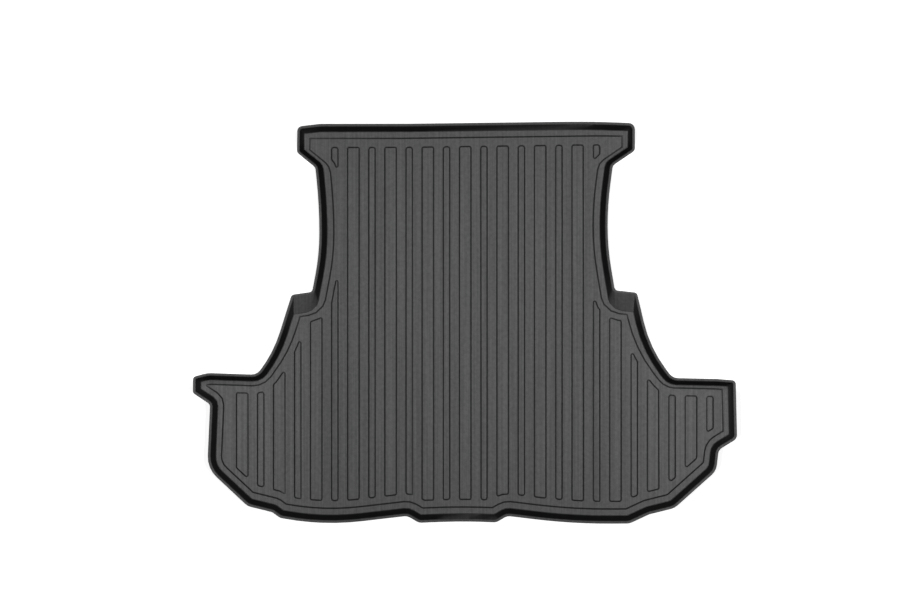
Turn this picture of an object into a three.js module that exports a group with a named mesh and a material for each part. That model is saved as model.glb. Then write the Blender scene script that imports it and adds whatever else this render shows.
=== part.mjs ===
import * as THREE from "three";

// Boot liner: one formed sheet with a raised floor, long raised strips, a gutter round the floor and a steep rim.
// Millimetres. x runs across the car, y towards the seats and z up. z = 0 is the underside of the gutter.

// Sheet and levels
const sheetThickness = 3;
const rimHeight = 45;
const floorRise = 4.5;
const stripRise = 4.5;

// Lip: the flat crest round the rim
const lipEdge = 1.1;
const lipFlat = 3.4;
const lipBend = 2.5;
const lipBendDrop = 2.6;

// Foot of the wall, where it turns into the gutter
const footRun = 2;
const footRise = 2.2;
const outerFootRise = 4;

// Width, seen from above, of the sloping sides of the floor and of the strips
const floorStepRun = 4.2;
const stripStepRun = 4;

// Widths, seen from above, that change round the rim: the wall, the gutter at its foot, and the bare
// floor between the edge of the floor and the ends of the strips
const steepWall = 10.3;
const plainWall = 12.3;
const rampWall = 43;
const narrowGutter = 7.2;
const flankGutter = 10;
const leftArmGutter = 10.5;
const earFrontGutter = 11.8;
const endGutter = 13.3;
const wideGutter = 15.9;
const sideMargin = 17.5;
const armMargin = 19.5;
const rearMargin = 20;
const frontMargin = 23.5;

// Strips: a wide and a narrow one by turns. Their pitch grows a little from left to right.
const wideStrip = 30;
const narrowStrip = 16.6;
const stripPitch = 48.1;
const pitchGrowth = 0.05;
const firstStripX = -580.2;
const stripCount = 26;
const shortestStrip = 28;
const narrowestTip = 5.5;
const wideStripCorner = 4;
const narrowStripCorner = 5.5;

// Stretches where the rim sits lower, so its wall is less steep
const rearDip = { x: 5, halfLength: 105, depth: 13 };
const frontDip = { x: 265, halfLength: 110, depth: 13 };

// Finest facets of the round stretches
const arcError = 0.45;
const longestArcStep = 36;

// The section of the rim along each kind of side
const front = { wall: plainWall, gutter: wideGutter, margin: frontMargin };
const earFront = { wall: plainWall, gutter: earFrontGutter, margin: frontMargin };
const earSide = { wall: steepWall, gutter: endGutter, margin: sideMargin };
const earBack = { wall: steepWall, gutter: narrowGutter, margin: sideMargin };
const arch = { wall: plainWall, gutter: wideGutter, margin: sideMargin };
const ramp = { wall: rampWall, gutter: narrowGutter, margin: sideMargin };
const flankEnd = { wall: plainWall, gutter: flankGutter, margin: armMargin };
const leftArmFront = { wall: steepWall, gutter: leftArmGutter, margin: armMargin };
const leftArmEnd = { wall: plainWall, gutter: endGutter, margin: sideMargin };
const rightArmFront = { wall: steepWall, gutter: narrowGutter, margin: armMargin };
const rightArmEnd = { wall: plainWall, gutter: endGutter, margin: armMargin };
const rear = { wall: plainWall, gutter: wideGutter, margin: rearMargin };

// Outer edge of the lip, anticlockwise seen from above: each corner's x, y and radius, and the section
// of the side that follows it. The two sides of the car differ a little.
const leftArchX = -378.8;
const rightArchX = 371;
const leftArmX = -707.5;
const rightArmX = 707.5;
const rimCorners = [
  // front edge, from the right ear to the left ear
  [442, 518.3, 20, earFront],
  [334, 523.6, 3600, front],
  [-143, 517.2, 2000, front],
  [-377, 516.9, 60, earFront],
  [-436, 509.9, 13, earSide],
  // left ear, then the left wheel arch down to its ramp
  [-437.2, 442.5, 12, earBack],
  [-389.2, 403.3, 13, arch],
  [leftArchX, 304.2, 1490, arch],
  [leftArchX, 177.8, 640, arch],
  [-397.5, 80.1, 10, ramp],
  [-450.8, 72.5, 9, arch],
  // left flank, curving out into the arm
  [-498.4, -78.5, 325, flankEnd],
  [-541.3, -135.2, 28, leftArmFront],
  [-669.5, -130.8, 60, leftArmFront],
  [leftArmX, -141.2, 10, leftArmEnd],
  [leftArmX, -183, 8, leftArmEnd],
  [-663, -212.7, 11, leftArmEnd],
  [-670.3, -379.1, 72, leftArmEnd],
  [-565.2, -477.4, 30, rear],
  // rear edge, with the step in each half and the shallow bay in the middle
  [-501, -493.2, 10, rear],
  [-481, -507.8, 12, rear],
  [-370.5, -528.3, 680, rear],
  [-150, -502.8, 24, rear],
  [-119.6, -520.8, 24, rear],
  [-20.8, -515.6, 2100, rear],
  [81.4, -519.7, 24, rear],
  [109.7, -502.8, 24, rear],
  [280.8, -523.4, 1600, rear],
  [427.7, -522.6, 30, rear],
  [478.4, -498.9, 20, rear],
  [545, -482.3, 40, rear],
  // right arm and flank
  [653.6, -385.3, 42, rightArmEnd],
  [659.6, -331, 20, rightArmEnd],
  [rightArmX, -301.9, 18, rightArmEnd],
  [704.1, -150.3, 10, rightArmFront],
  [655.2, -146.4, 60, rightArmFront],
  [539.8, -143.8, 28, flankEnd],
  [480.7, -65.5, 330, arch],
  [447.2, 78, 9, ramp],
  // right ramp, wheel arch and ear
  [389.7, 84.2, 10, arch],
  [rightArchX, 195.5, 713, arch],
  [rightArchX, 305.5, 900, arch],
  [384.3, 408.2, 13, earBack],
  [441.9, 447.2, 12, earSide],
].map(([x, y, radius, section]) => ({ at: new THREE.Vector2(x, y), radius, section }));

const lipWidth = lipEdge + lipFlat + lipBend;
const floorTop = sheetThickness + floorRise;
const stripTop = floorTop + stripRise;

function turnAt(before, at, after) {
  const incoming = at.clone().sub(before);
  const outgoing = after.clone().sub(at);
  return Math.atan2(incoming.cross(outgoing), incoming.dot(outgoing));
}

function mixSections(a, b, share) {
  const mixed = {};
  for (const width of Object.keys(a)) {
    mixed[width] = a[width] + (b[width] - a[width]) * share;
  }
  return mixed;
}

// Rounds each corner of a closed loop. Where two arcs would meet on a side, both get smaller.
// Gives the loop's points and the section of the side that starts at each of them.
function roundCorners(corners) {
  const count = corners.length;
  const next = (i) => (i + 1) % count;
  const last = (i) => (i + count - 1) % count;
  const turns = corners.map((c, i) => turnAt(corners[last(i)].at, c.at, corners[next(i)].at));
  const tangents = corners.map((c, i) => c.radius * Math.tan(Math.abs(turns[i]) / 2));
  const room = corners.map((c, i) => {
    const side = c.at.distanceTo(corners[next(i)].at);
    return Math.min(1, side / Math.max(tangents[i] + tangents[next(i)], 1e-9));
  });
  const points = [];
  const sections = [];
  corners.forEach((corner, i) => {
    const fit = Math.min(room[i], room[last(i)]);
    const turn = turns[i];
    const radius = corner.radius * fit;
    const before = corners[last(i)].section;
    if (radius < arcError) {
      points.push(corner.at.clone());
      sections.push(corner.section);
      return;
    }
    const finestTurn = 2 * Math.acos(1 - arcError / Math.max(radius, 2 * arcError));
    const steps = Math.ceil(
      Math.max(1, Math.abs(turn) / finestTurn, (Math.abs(turn) * radius) / longestArcStep),
    );
    const toStart = corners[last(i)].at.clone().sub(corner.at).normalize();
    const start = corner.at.clone().addScaledVector(toStart, tangents[i] * fit);
    const towardsCentre = new THREE.Vector2(toStart.y, -toStart.x).multiplyScalar(Math.sign(turn));
    const centre = start.clone().addScaledVector(towardsCentre, radius);
    for (let step = 0; step <= steps; step += 1) {
      points.push(start.clone().rotateAround(centre, (turn * step) / steps));
      sections.push(step < steps ? mixSections(before, corner.section, (step + 0.5) / steps) : corner.section);
    }
  });
  return dropRepeats(points, sections);
}

function dropRepeats(points, sections) {
  const kept = points.map((_, i) => i).filter((i) => {
    return points[i].distanceTo(points[(i + 1) % points.length]) > arcError;
  });
  return { points: kept.map((i) => points[i]), sections: kept.map((i) => sections[i]) };
}

// Moves each side of an anticlockwise loop inwards by its own distance. Sides that shrink to nothing
// are closed up, and their points fall together, so the result has as many points as the loop.
function inset(points, distances) {
  const shortestSide = 1.2;
  const sides = points.map((point, i) => {
    const along = points[(i + 1) % points.length].clone().sub(point).normalize();
    const inward = new THREE.Vector2(-along.y, along.x);
    return { along, through: point.clone().addScaledVector(inward, distances[i]) };
  });
  const meet = (a, b) => {
    const across = a.along.cross(b.along);
    if (Math.abs(across) < 1e-6) return b.through.clone();
    const reach = b.through.clone().sub(a.through).cross(b.along) / across;
    return a.through.clone().addScaledVector(a.along, reach);
  };
  const live = sides.map((_, i) => i);
  for (;;) {
    const starts = live.map((side, k) => meet(sides[live.at(k - 1)], sides[side]));
    const lengths = live.map((side, k) => {
      return starts[(k + 1) % live.length].clone().sub(starts[k]).dot(sides[side].along);
    });
    const least = Math.min(...lengths);
    if (least > shortestSide || live.length <= 3) {
      return points.map((_, i) => {
        const nextLive = live.findIndex((side) => side >= i);
        return starts[Math.max(nextLive, 0)];
      });
    }
    live.splice(lengths.indexOf(least), 1);
  }
}

// The pieces of a loop that lie where x, or y, is more than a value, or less than it if side is -1.
function cutLoop(points, axis, at, side) {
  const along = axis === "x" ? "y" : "x";
  const inside = points.map((p) => side * (p[axis] - at) > 0);
  if (inside.every(Boolean)) return [points];
  const first = inside.indexOf(false);
  const chains = [];
  for (let k = 0; k < points.length; k += 1) {
    const i = (first + k) % points.length;
    const j = (i + 1) % points.length;
    if (inside[i]) chains.at(-1).push(points[i]);
    if (inside[i] === inside[j]) continue;
    const share = (at - points[i][axis]) / (points[j][axis] - points[i][axis]);
    const crossing = points[i].clone().lerp(points[j], share);
    if (inside[j]) chains.push([]);
    chains.at(-1).push(crossing);
  }
  // The crossings, in order along the line, bound by turns a stretch inside the loop and one outside.
  const ends = chains.flatMap((chain) => [
    { chain, place: chain[0][along], starts: true },
    { chain, place: chain.at(-1)[along], starts: false },
  ]).sort((a, b) => a.place - b.place);
  const follower = new Map();
  for (let k = 0; k < ends.length; k += 2) {
    const [from, to] = ends[k].starts ? [ends[k + 1], ends[k]] : [ends[k], ends[k + 1]];
    follower.set(from.chain, to.chain);
  }
  const loops = [];
  while (follower.size) {
    const loop = [];
    let chain = follower.keys().next().value;
    while (follower.has(chain)) {
      loop.push(...chain);
      const following = follower.get(chain);
      follower.delete(chain);
      chain = following;
    }
    loops.push(loop);
  }
  return loops;
}

// Outlines of the strips, at half the height of their sloping sides: each is the part of the floor,
// less its margin, between two straight lines, with its corners rounded.
function stripOutlines(field) {
  const outlines = [];
  for (let i = 0; i < stripCount; i += 1) {
    const wide = i % 2 === 0;
    const centre = firstStripX + i * stripPitch + (pitchGrowth * i * i) / 2;
    const halfWidth = (wide ? wideStrip : narrowStrip) / 2;
    const pieces = cutLoop(field, "x", centre - halfWidth, 1)
      .flatMap((piece) => cutLoop(piece, "x", centre + halfWidth, -1))
      .flatMap(trimTips);
    for (const piece of pieces) {
      const [bottom, top] = extent(piece, "y");
      if (top - bottom < shortestStrip) continue;
      outlines.push(roundStrip(piece, wide ? wideStripCorner : narrowStripCorner));
    }
  }
  return outlines;
}

function extent(points, axis) {
  const values = points.map((p) => p[axis]);
  return [Math.min(...values), Math.max(...values)];
}

// Cuts the long pointed ends off a strip, square across where the point is as wide as narrowestTip.
function trimTips(piece) {
  const [left, right] = extent(piece, "x");
  if (right - left < narrowestTip) return [];
  const [bottom, top] = extent(piece, "y");
  const [leftBottom, leftTop] = extent(cutLoop(piece, "x", right - narrowestTip, -1).flat(), "y");
  const [rightBottom, rightTop] = extent(cutLoop(piece, "x", left + narrowestTip, 1).flat(), "y");
  const lowest = Math.max(leftBottom, rightBottom);
  const highest = Math.min(leftTop, rightTop);
  let trimmed = [piece];
  if (top - highest > narrowestTip) trimmed = cutLoop(piece, "y", highest, -1);
  if (lowest - bottom > narrowestTip) trimmed = trimmed.flatMap((loop) => cutLoop(loop, "y", lowest, 1));
  return trimmed;
}

function roundStrip(piece, radius) {
  const sharpTurn = Math.PI / 9;
  const shortestSide = 1;
  const spaced = piece.filter((p, i) => p.distanceTo(piece[(i + 1) % piece.length]) > shortestSide);
  const corners = spaced.map((at, i) => {
    const turn = turnAt(spaced.at(i - 1), at, spaced[(i + 1) % spaced.length]);
    return { at, radius: Math.abs(turn) > sharpTurn ? radius : 0, section: {} };
  });
  return roundCorners(corners).points;
}

// The triangles that are still missing between an outline and its holes, all anticlockwise loops. An edge
// with a triangle or the other side of a loop on one side only runs along such a gap.
function gapTriangles(faces, outline, holes) {
  const sides = new Map();
  const addSide = (from, to) => sides.set(`${from} ${to}`, [to, from]);
  for (const [a, b, c] of faces) {
    addSide(a, b);
    addSide(b, c);
    addSide(c, a);
  }
  outline.forEach((_, i) => addSide((i + 1) % outline.length, i));
  let start = outline.length;
  for (const hole of holes) {
    hole.forEach((_, i) => addSide(start + i, start + ((i + 1) % hole.length)));
    start += hole.length;
  }
  const open = [...sides.values()].filter(([from, to]) => !sides.has(`${from} ${to}`));
  const triangles = [];
  while (open.length) {
    const gap = open.pop();
    while (gap.at(-1) !== gap[0]) {
      const onward = open.filter(([from]) => from === gap.at(-1));
      const way = onward.find(([, to]) => to === gap[0]) ?? onward[0];
      open.splice(open.indexOf(way), 1);
      gap.push(way[1]);
    }
    for (let k = 2; k < gap.length - 1; k += 1) triangles.push([gap[0], gap[k - 1], gap[k]]);
  }
  return triangles;
}

// Anticlockwise triangles that fill an outline round its holes. Three corners in line may first be left out,
// which would open the surface there. An edge between two triangles is turned where that makes both less thin.
function fillOutline(outline, holes) {
  const points = [outline, ...holes].flat();
  const faces = THREE.ShapeUtils.triangulateShape(outline, holes);
  const area = faces.reduce((sum, face) => sum + THREE.ShapeUtils.area(face.map((k) => points[k])), 0);
  if (area < 0) faces.forEach((face) => face.reverse());
  faces.push(...gapTriangles(faces, outline, holes));
  const angleAt = (apex, a, b) => {
    const toA = points[a].clone().sub(points[apex]);
    const toB = points[b].clone().sub(points[apex]);
    return Math.abs(Math.atan2(toA.cross(toB), toA.dot(toB)));
  };
  for (let turned = true; turned;) {
    turned = false;
    const owners = new Map();
    faces.forEach((face, f) => {
      face.forEach((from, k) => owners.set(`${from} ${face[(k + 1) % 3]}`, f));
    });
    const changed = new Set();
    for (const [edge, f] of owners) {
      const [a, b] = edge.split(" ").map(Number);
      const g = owners.get(`${b} ${a}`);
      if (a > b || g === undefined || changed.has(f) || changed.has(g)) continue;
      const c = faces[f].find((v) => v !== a && v !== b);
      const d = faces[g].find((v) => v !== a && v !== b);
      if (angleAt(c, a, b) + angleAt(d, a, b) < Math.PI + 1e-6) continue;
      faces[f] = [a, d, c];
      faces[g] = [d, b, c];
      changed.add(f).add(g);
      turned = true;
    }
  }
  return faces;
}

// Collects the triangles of the closed surface. Points that fall together are one vertex.
function makeSurface() {
  const positions = [];
  const triangles = [];
  const known = new Map();
  const vertex = (p, z) => {
    const key = [p.x, p.y, z].map((value) => Math.round(value * 1000)).join();
    if (!known.has(key)) {
      known.set(key, positions.length / 3);
      positions.push(p.x, p.y, z);
    }
    return known.get(key);
  };
  const triangle = (a, b, c) => {
    if (a !== b && b !== c && c !== a) triangles.push(a, b, c);
  };
  const ring = (points, level) => points.map((p, i) => vertex(p, typeof level === "number" ? level : level[i]));
  // The band from one ring to the next. It faces up where the second ring lies inside the first.
  const band = (from, to) => {
    from.forEach((_, i) => {
      const j = (i + 1) % from.length;
      triangle(from[i], from[j], to[j]);
      triangle(from[i], to[j], to[i]);
    });
  };
  const flat = (outer, holes, facing) => {
    const point = (v) => new THREE.Vector2(positions[3 * v], positions[3 * v + 1]);
    const distinct = (loop) => loop.filter((v, i) => v !== loop[(i + 1) % loop.length]);
    const loops = [outer, ...holes].map(distinct);
    const vertices = loops.flat();
    const [edge, ...gaps] = loops.map((loop) => loop.map(point));
    for (const face of fillOutline(edge, gaps)) {
      const [a, b, c] = face.map((k) => vertices[k]);
      if (facing > 0) triangle(a, b, c);
      else triangle(a, c, b);
    }
  };
  const geometry = () => {
    const made = new THREE.BufferGeometry();
    made.setAttribute("position", new THREE.Float32BufferAttribute(positions, 3));
    made.setIndex(triangles);
    made.computeVertexNormals();
    return made;
  };
  return { ring, band, flat, geometry };
}

// Height of the lip's crest at a point of the outline.
function crestAt(p) {
  const dip = p.y > 0 ? frontDip : rearDip;
  const share = Math.min(1, Math.abs(p.x - dip.x) / dip.halfLength);
  return rimHeight - (dip.depth * (1 + Math.cos(Math.PI * share))) / 2;
}

// How far the under face of a sloping stretch is shifted sideways, so that the sheet keeps its thickness:
// at the bend into the slope, and on the slope itself.
const bendShift = (rise, run) => sheetThickness * Math.tan(Math.atan2(rise, run) / 2);
const wallShift = (rise, run) => sheetThickness / Math.sin(Math.atan2(rise, run));

// The rings round the sheet's section, from the edge of the floor's under face out to the lip and back
// in over the top to the edge of the floor. Each has a distance in from the lip's outer edge and a level.
const wallFootLevel = sheetThickness + footRise;
const wallRise = rimHeight - lipBendDrop - wallFootLevel;
const wallFoot = (s) => lipWidth + s.wall;
const gutterStart = (s) => wallFoot(s) + footRun;
const floorEdge = (s) => gutterStart(s) + s.gutter;
const outerWall = (s) => wallFoot(s) - wallShift(wallRise, s.wall);
const floorShift = bendShift(floorRise, floorStepRun);
const sectionRings = [
  { inset: (s) => floorEdge(s) + floorStepRun / 2 + floorShift, level: () => floorRise },
  { inset: (s) => floorEdge(s) - floorStepRun / 2 + floorShift, level: () => 0 },
  { inset: gutterStart, level: () => 0 },
  { inset: outerWall, level: () => outerFootRise },
  { inset: (s) => outerWall(s) - s.wall, level: (crest) => crest - sheetThickness },
  { inset: () => 0, level: (crest) => crest - sheetThickness },
  { inset: () => 0, level: (crest) => crest - lipEdge },
  { inset: () => lipEdge, level: (crest) => crest },
  { inset: () => lipEdge + lipFlat, level: (crest) => crest },
  { inset: () => lipWidth, level: (crest) => crest - lipBendDrop },
  { inset: wallFoot, level: () => wallFootLevel },
  { inset: gutterStart, level: () => sheetThickness },
  { inset: (s) => floorEdge(s) - floorStepRun / 2, level: () => sheetThickness },
  { inset: (s) => floorEdge(s) + floorStepRun / 2, level: () => floorTop },
];

function linerGeometry() {
  const surface = makeSurface();
  const rim = roundCorners(rimCorners);
  const insetBy = (distance) => inset(rim.points, rim.sections.map(distance));
  const rings = sectionRings.map((r) => {
    return surface.ring(insetBy(r.inset), rim.points.map((p) => r.level(crestAt(p))));
  });
  for (let k = 1; k < rings.length; k += 1) surface.band(rings[k - 1], rings[k]);

  const field = insetBy((s) => floorEdge(s) + s.margin);
  const strips = stripOutlines(field.filter((p, i) => p !== field.at(i - 1)));
  const stripRing = (outline, distance, level) => {
    return surface.ring(inset(outline, outline.map(() => distance)), level);
  };
  const shift = bendShift(stripRise, stripStepRun);
  const feet = strips.map((outline) => {
    const foot = stripRing(outline, -stripStepRun / 2, floorTop);
    const top = stripRing(outline, stripStepRun / 2, stripTop);
    surface.band(foot, top);
    surface.flat(top, [], 1);
    return foot;
  });
  const hollows = strips.map((outline) => {
    const mouth = stripRing(outline, shift - stripStepRun / 2, floorRise);
    const ceiling = stripRing(outline, shift + stripStepRun / 2, floorRise + stripRise);
    surface.band(ceiling, mouth);
    surface.flat(ceiling, [], -1);
    return mouth;
  });
  surface.flat(rings.at(-1), feet, 1);
  surface.flat(rings[0], hollows, -1);
  return surface.geometry();
}

const rubber = new THREE.MeshStandardMaterial({ color: 0x232324, roughness: 0.6, metalness: 0 });
const liner = new THREE.Mesh(linerGeometry(), rubber);
liner.name = "liner";

const bootLiner = new THREE.Group();
bootLiner.add(liner);

export default bootLiner;
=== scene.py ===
import math

import bmesh
import bpy
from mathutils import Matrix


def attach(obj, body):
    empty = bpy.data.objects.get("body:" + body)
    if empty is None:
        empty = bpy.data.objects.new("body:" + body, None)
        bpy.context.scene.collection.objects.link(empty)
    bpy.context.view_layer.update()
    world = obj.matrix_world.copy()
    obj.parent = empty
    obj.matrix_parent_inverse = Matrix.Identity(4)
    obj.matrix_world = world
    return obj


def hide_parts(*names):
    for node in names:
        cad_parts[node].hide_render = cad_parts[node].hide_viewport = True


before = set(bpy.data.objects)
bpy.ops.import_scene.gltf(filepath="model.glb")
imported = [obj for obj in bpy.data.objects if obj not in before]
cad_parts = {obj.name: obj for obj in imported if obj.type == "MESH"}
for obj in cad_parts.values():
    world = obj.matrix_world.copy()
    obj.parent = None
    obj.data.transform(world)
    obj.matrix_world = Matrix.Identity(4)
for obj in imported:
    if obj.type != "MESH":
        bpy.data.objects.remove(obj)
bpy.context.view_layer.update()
scene = bpy.context.scene
scene.view_settings.view_transform = "Standard"


def newMaterial(name):
    material = bpy.data.materials.new(name)
    material.use_nodes = True
    tree = material.node_tree
    tree.nodes.clear()
    return material, tree


# An input is given as a plain value, or as the socket that feeds it
def addNode(tree, kind, inputs=None, **settings):
    node = tree.nodes.new(kind)
    for key, value in settings.items():
        setattr(node, key, value)
    for key, value in (inputs or {}).items():
        if isinstance(value, bpy.types.NodeSocket):
            tree.links.new(value, node.inputs[key])
        else:
            node.inputs[key].default_value = value
    return node


# Camera: straight down from high up, as the photograph was taken
camera = {
    "lens": 300,
    "sensor": 36,
    "farClip": 200,
    "frameWidth": 2.392,  # what the view takes in, across, at the rim's level
    "middle": (-0.013, 0.0419),
    "rimLevel": 0.045,
}


def makeCamera():
    data = bpy.data.cameras.new("camera")
    data.lens = camera["lens"]
    data.sensor_width = camera["sensor"]
    data.clip_end = camera["farClip"]
    distance = camera["frameWidth"] * camera["lens"] / camera["sensor"]
    view = bpy.data.objects.new("camera", data)
    view.location = (*camera["middle"], camera["rimLevel"] + distance)
    scene.collection.objects.link(view)
    scene.camera = view


# Soft boxes high over the middle, each tilted outwards to its own side
softBoxes = [
    {"name": "leftSoftBox", "place": (-0.15, 0.12, 1.5), "size": (0.4, 1.7), "tilt": 72, "watts": 77},
    {"name": "rightSoftBox", "place": (0.15, 0.12, 1.5), "size": (0.4, 1.7), "tilt": -72, "watts": 83},
]
# Pale sky and floor. The floor glows, so that it stays white round the liner.
studio = {
    "skyColor": (0.98, 0.99, 1.0, 1),
    "skyStrength": 0.14,
    "floorSize": 60,
    "floorLevel": -0.0003,
    "floorColor": (0.5, 0.5, 0.5, 1),
    "glowColor": (1, 1, 1, 1),
    "floorGlow": 0.9,
}


def makeSoftBox(box):
    data = bpy.data.lights.new(box["name"], "AREA")
    data.shape = "RECTANGLE"
    data.size, data.size_y = box["size"]
    data.energy = box["watts"]
    light = bpy.data.objects.new(box["name"], data)
    light.location = box["place"]
    light.rotation_euler = (0, math.radians(box["tilt"]), 0)
    light.visible_camera = False
    scene.collection.objects.link(light)


def makeSky():
    world = bpy.data.worlds.new("studio")
    world.use_nodes = True
    sky = world.node_tree.nodes["Background"]
    sky.inputs["Color"].default_value = studio["skyColor"]
    sky.inputs["Strength"].default_value = studio["skyStrength"]
    scene.world = world


def floorMaterial():
    material, tree = newMaterial("paleFloor")
    shader = addNode(
        tree,
        "ShaderNodeBsdfPrincipled",
        {
            "Base Color": studio["floorColor"],
            "Roughness": 1,
            "Specular IOR Level": 0,
            "Emission Color": studio["glowColor"],
            "Emission Strength": studio["floorGlow"],
        },
    )
    addNode(tree, "ShaderNodeOutputMaterial", {"Surface": shader.outputs[0]})
    return material


def makeFloor():
    sheet = bmesh.new()
    bmesh.ops.create_grid(sheet, x_segments=1, y_segments=1, size=studio["floorSize"] / 2)
    bmesh.ops.translate(sheet, verts=sheet.verts, vec=(0, 0, studio["floorLevel"]))
    mesh = bpy.data.meshes.new("studioFloor")
    sheet.to_mesh(mesh)
    sheet.free()
    mesh.materials.append(floorMaterial())
    floor = bpy.data.objects.new("studioFloor", mesh)
    scene.collection.objects.link(floor)


makeCamera()
for softBox in softBoxes:
    makeSoftBox(softBox)
makeSky()
makeFloor()
print("studio ready")


# The moulded sheet: the CAD form with its creases eased, shaded so that its large flats stay flat.
# A facing is how far the surface faces up or down: 1 on a flat, 0 on an upright wall. A pair of them
# says where a change over the surface starts and where it is complete.
moulding = {
    "mergeDistance": 1e-5,
    "flatAngle": 0.4,  # degrees, below which neighbouring faces are joined
    "creaseAngle": 18,  # degrees, above which an edge is eased
    "creaseRise": 0.12,  # the most that an eased edge rises over its length
    "easing": 0.0006,
    "steps": 2,
    "flatWeight": 90,  # how strongly the larger faces set the shading
    "stepFacing": (0.92, 0.72),  # the sides of the floor and the strips
    "wallFacing": (0.85, 0.36),
    "grainFacing": (0.3, 0.8),
    # painted shade on the sides of the floor and the strips, with a smoother finish: how far they go
    # towards the steep walls' dark colour and finish
    "stepShadeAndSmoothness": 0.85,
    "stripTop": 0.0125,  # the floor and the strips lie below this level
    "wallFoot": (0.004, 0.0065),  # the wall's foot lies between these levels
    "lipLevel": 0.028,  # the lip and the upper wall lie above this level
    # the least painted shade, with a smoother finish, on the lip and the upper wall
    "lipShadeAndSmoothness": 0.25,
}


def easeCreases(sheet):
    creases = []
    for edge in sheet.edges:
        along = edge.verts[1].co - edge.verts[0].co
        lies = abs(along.z) < moulding["creaseRise"] * along.length
        if lies and edge.calc_face_angle(0) > math.radians(moulding["creaseAngle"]):
            creases.append(edge)
    bmesh.ops.bevel(
        sheet,
        geom=creases,
        offset=moulding["easing"],
        segments=moulding["steps"],
        profile=0.5,
        affect="EDGES",
        clamp_overlap=False,
        material=-1,
    )


# 0 up to the start, 1 from the end on, and even in between
def share(value, start, end):
    return min(1.0, max(0.0, (value - start) / (end - start)))


# Painted shade, with the smoother finish of sheet drawn out in the mould: 0 on the flats, 1 on the
# steep walls
def shadeAndSmoothnessAt(vert):
    facing = abs(vert.normal.z)
    level = vert.co.z
    footLow, footHigh = moulding["wallFoot"]
    if level < moulding["stripTop"] and not footLow < level < footHigh:
        return moulding["stepShadeAndSmoothness"] * share(facing, *moulding["stepFacing"])
    shadeAndSmoothness = share(facing, *moulding["wallFacing"])
    # the lip and the upper wall get at least a little painted shade
    if level > moulding["lipLevel"]:
        shadeAndSmoothness = max(moulding["lipShadeAndSmoothness"], shadeAndSmoothness)
    return shadeAndSmoothness


def makeLiner():
    sheet = bmesh.new()
    sheet.from_mesh(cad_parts["liner"].data)
    bmesh.ops.remove_doubles(sheet, verts=sheet.verts, dist=moulding["mergeDistance"])
    bmesh.ops.dissolve_limit(
        sheet,
        angle_limit=math.radians(moulding["flatAngle"]),
        verts=sheet.verts,
        edges=sheet.edges,
    )
    easeCreases(sheet)
    sheet.normal_update()
    # painted shade, and a smoother finish, at each corner of the sheet
    shadeAndSmoothness = sheet.verts.layers.float.new("shadeAndSmoothness")
    grain = sheet.verts.layers.float.new("grain")
    for vert in sheet.verts:
        vert[shadeAndSmoothness] = shadeAndSmoothnessAt(vert)
        vert[grain] = share(vert.normal.z, *moulding["grainFacing"])  # the upper face only
    for face in sheet.faces:
        face.smooth = True
    mesh = bpy.data.meshes.new("mouldedLiner")
    sheet.to_mesh(mesh)
    sheet.free()
    piece = bpy.data.objects.new("mouldedLiner", mesh)
    scene.collection.objects.link(piece)
    flats = piece.modifiers.new("flats", "WEIGHTED_NORMAL")
    flats.mode = "FACE_AREA"
    flats.weight = moulding["flatWeight"]
    flats.keep_sharp = False
    return piece


# Rubber: grained where the sheet lies flat, smoother where it was drawn out in the mould, and darkened
# there and on the sides of the steps as painted shade
rubber = {
    "flatColor": (0.0645, 0.0645, 0.0645, 1),
    # the colour of painted shade on the steep walls, the sides of the steps and the lip
    "paintedShadeColor": (0.002, 0.002, 0.002, 1),
    "specular": 0.05,
    "flatRoughness": 0.6,
    "wallRoughness": 0.5,
    "roughnessChange": 0.05,
    # pebbled grain, and slow waves of the whole sheet
    "grainSize": 0.0018,
    "grainDepth": 0.00012,
    "grooveShare": 0.22,  # from a pebble's edge to its top, in grain sizes
    "waveSize": 0.12,
    "waveDepth": 0.0006,
    "waveDetail": 1,
    # mottled shade, and faint streaks along the strips
    "mottleSize": 0.009,
    "mottleDetail": 7,
    "mottleRoughness": 0.7,
    "mottle": 0.13,
    "streakWidth": 0.005,
    "streakLength": 0.5,
    "streakDetail": 3,
    "streak": 0.12,
    "noiseRange": (0.3, 0.7),
}


def mapRange(tree, value, fromRange, toRange):
    ranges = {
        "Value": value,
        "From Min": fromRange[0],
        "From Max": fromRange[1],
        "To Min": toRange[0],
        "To Max": toRange[1],
    }
    node = addNode(tree, "ShaderNodeMapRange", ranges, interpolation_type="SMOOTHSTEP")
    return node.outputs["Result"]


# A factor round 1, from a noise
def factorFrom(tree, noise, change):
    return mapRange(tree, noise, rubber["noiseRange"], (1 - change, 1 + change))


def multiply(tree, first, second):
    return addNode(tree, "ShaderNodeMath", {0: first, 1: second}, operation="MULTIPLY").outputs[0]


def noise(tree, vector, scale, **inputs):
    node = addNode(tree, "ShaderNodeTexNoise", {"Vector": vector, "Scale": scale, **inputs})
    return node.outputs["Fac"]


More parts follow.
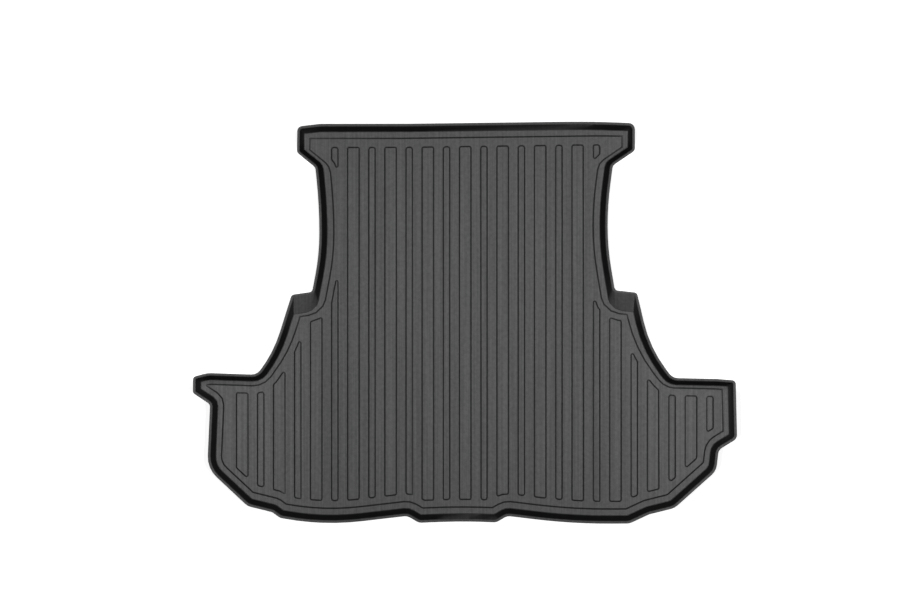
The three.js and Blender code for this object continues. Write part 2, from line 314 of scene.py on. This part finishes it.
def rubberColor(tree, place, wall, mottle):
    streaked = addNode(
        tree,
        "ShaderNodeMapping",
        {"Vector": place, "Scale": (1 / rubber["streakWidth"], 1 / rubber["streakLength"], 1)},
    ).outputs["Vector"]
    streaks = noise(tree, streaked, 1, Detail=rubber["streakDetail"])
    shade = multiply(
        tree,
        factorFrom(tree, mottle, rubber["mottle"]),
        factorFrom(tree, streaks, rubber["streak"]),
    )
    # the rubber's own colour, darkened towards the colour of painted shade where the mask says
    color = addNode(
        tree,
        "ShaderNodeMix",
        {"Factor": wall, "A": rubber["flatColor"], "B": rubber["paintedShadeColor"]},
        data_type="RGBA",
    ).outputs["Result"]
    shaded = addNode(tree, "ShaderNodeVectorMath", {0: color, "Scale": shade}, operation="SCALE")
    return shaded.outputs["Vector"]


def rubberNormal(tree, place, grained):
    cells = addNode(
        tree,
        "ShaderNodeTexVoronoi",
        {"Vector": place, "Scale": 1 / rubber["grainSize"], "Randomness": 1},
        feature="DISTANCE_TO_EDGE",
    ).outputs["Distance"]
    pebbles = mapRange(tree, cells, (0, rubber["grooveShare"]), (0, 1))
    wave = noise(tree, place, 1 / rubber["waveSize"], Detail=rubber["waveDetail"])
    waved = addNode(
        tree,
        "ShaderNodeBump",
        {"Height": wave, "Strength": 1, "Distance": rubber["waveDepth"]},
    ).outputs["Normal"]
    return addNode(
        tree,
        "ShaderNodeBump",
        {"Height": pebbles, "Strength": grained, "Distance": rubber["grainDepth"], "Normal": waved},
    ).outputs["Normal"]


def rubberRoughness(tree, wall, mottle):
    roughness = addNode(
        tree,
        "ShaderNodeMix",
        {"Factor": wall, "A": rubber["flatRoughness"], "B": rubber["wallRoughness"]},
        data_type="FLOAT",
    ).outputs["Result"]
    return multiply(tree, roughness, factorFrom(tree, mottle, rubber["roughnessChange"]))


def rubberMaterial():
    material, tree = newMaterial("blackRubber")
    place = addNode(tree, "ShaderNodeTexCoord").outputs["Object"]
    # the mask of painted shade, which also sets the smoother finish
    wall = addNode(tree, "ShaderNodeAttribute", attribute_name="shadeAndSmoothness").outputs["Fac"]
    grained = addNode(tree, "ShaderNodeAttribute", attribute_name="grain").outputs["Fac"]
    mottle = noise(
        tree,
        place,
        1 / rubber["mottleSize"],
        Detail=rubber["mottleDetail"],
        Roughness=rubber["mottleRoughness"],
    )
    shader = addNode(
        tree,
        "ShaderNodeBsdfPrincipled",
        {
            "Base Color": rubberColor(tree, place, wall, mottle),
            "Roughness": rubberRoughness(tree, wall, mottle),
            "Specular IOR Level": rubber["specular"],
            "Normal": rubberNormal(tree, place, grained),
        },
    )
    addNode(tree, "ShaderNodeOutputMaterial", {"Surface": shader.outputs[0]})
    return material


liner = makeLiner()
liner.data.materials.append(rubberMaterial())
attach(liner, "root")
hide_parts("liner")
print("liner ready:", len(liner.data.polygons), "faces")
